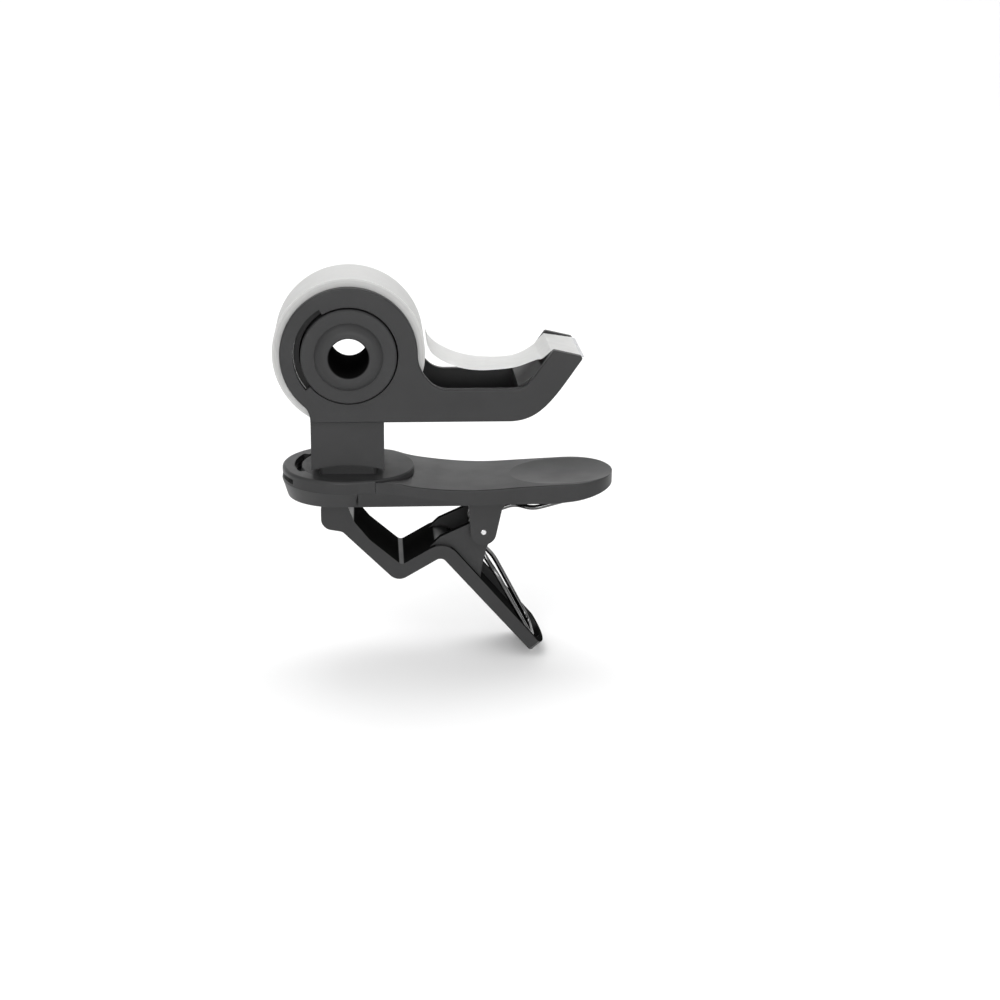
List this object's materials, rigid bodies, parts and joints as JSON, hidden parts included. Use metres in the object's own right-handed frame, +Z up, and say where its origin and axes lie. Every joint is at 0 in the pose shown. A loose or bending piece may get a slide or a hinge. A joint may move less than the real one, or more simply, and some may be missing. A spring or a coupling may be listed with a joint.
{
  "type": "clip-on tape dispenser",
  "caption": "Hand-sized clip-on adhesive tape dispenser: swivelling head with a tape roll and toothed cutter on a sprung pinch clamp with a finger lever.",
  "frame": {"origin": "on the head's swivel axis, at the flat underside of the upper jaw that rests on the clamped edge or tube", "axes": "+Z up along the swivel axis towards the tape roll, +X from the grip towards the paddle and the cutter, +Y across the tape, away from the open end of the spindle"},
  "size_m": [0.0884, 0.0326, 0.103],
  "materials": {
    "shell_plastic": "dark charcoal moulded plastic, fine matte texture",
    "jaw_plastic": "dark charcoal moulded plastic, satin",
    "lever_plastic": "dark charcoal moulded plastic, satin",
    "hub_plastic": "dark charcoal moulded plastic, satin",
    "spring_wire": "black-nickel plated spring wire, glossy",
    "pin_steel": "plain drawn steel",
    "screw_steel": "zinc-plated",
    "washer_steel": "spring steel",
    "blade_steel": "bright spring steel with ground teeth",
    "tape_film": "frosted translucent film, matte",
    "core_plastic": "black moulded plastic core"
  },
  "bodies": {
    "clamp": {"upper_jaw": "jaw_plastic", "swivel_collar": "jaw_plastic", "wave_washer": "washer_steel", "pivot_pin": "pin_steel"},
    "head": {"turntable": "hub_plastic", "post_screws": "screw_steel", "near_shell": "shell_plastic", "far_shell": "shell_plastic", "shell_screws": "screw_steel", "spindle": "hub_plastic", "spindle_cap": "hub_plastic", "landing_block": "hub_plastic", "cutter_blade": "blade_steel", "tape_strip": "tape_film"},
    "roll": {"tape_core": "core_plastic", "tape_roll": "tape_film"},
    "lever": {"lower_jaw": "lever_plastic", "torsion_spring": "spring_wire"}
  },
  "joints": [
    {"name": "head_swivel", "type": "hinge", "parent": "clamp", "child": "head", "pos_m": [0, 0, 0.005], "axis": [0, 0, 1], "continuous": true},
    {"name": "roll_spin", "type": "hinge", "parent": "head", "child": "roll", "pos_m": [-0.002, 0, 0.0396], "axis": [0, 1, 0], "continuous": true},
    {"name": "jaw_pivot", "type": "hinge", "parent": "clamp", "child": "lever", "pos_m": [0.0326, 0, -0.0083], "axis": [0, -1, 0], "range_deg": [0, 30], "stiffness_Nm_per_rad": 0.3, "springref_deg": -28.65, "deforming": ["torsion_spring"]}
  ]
}
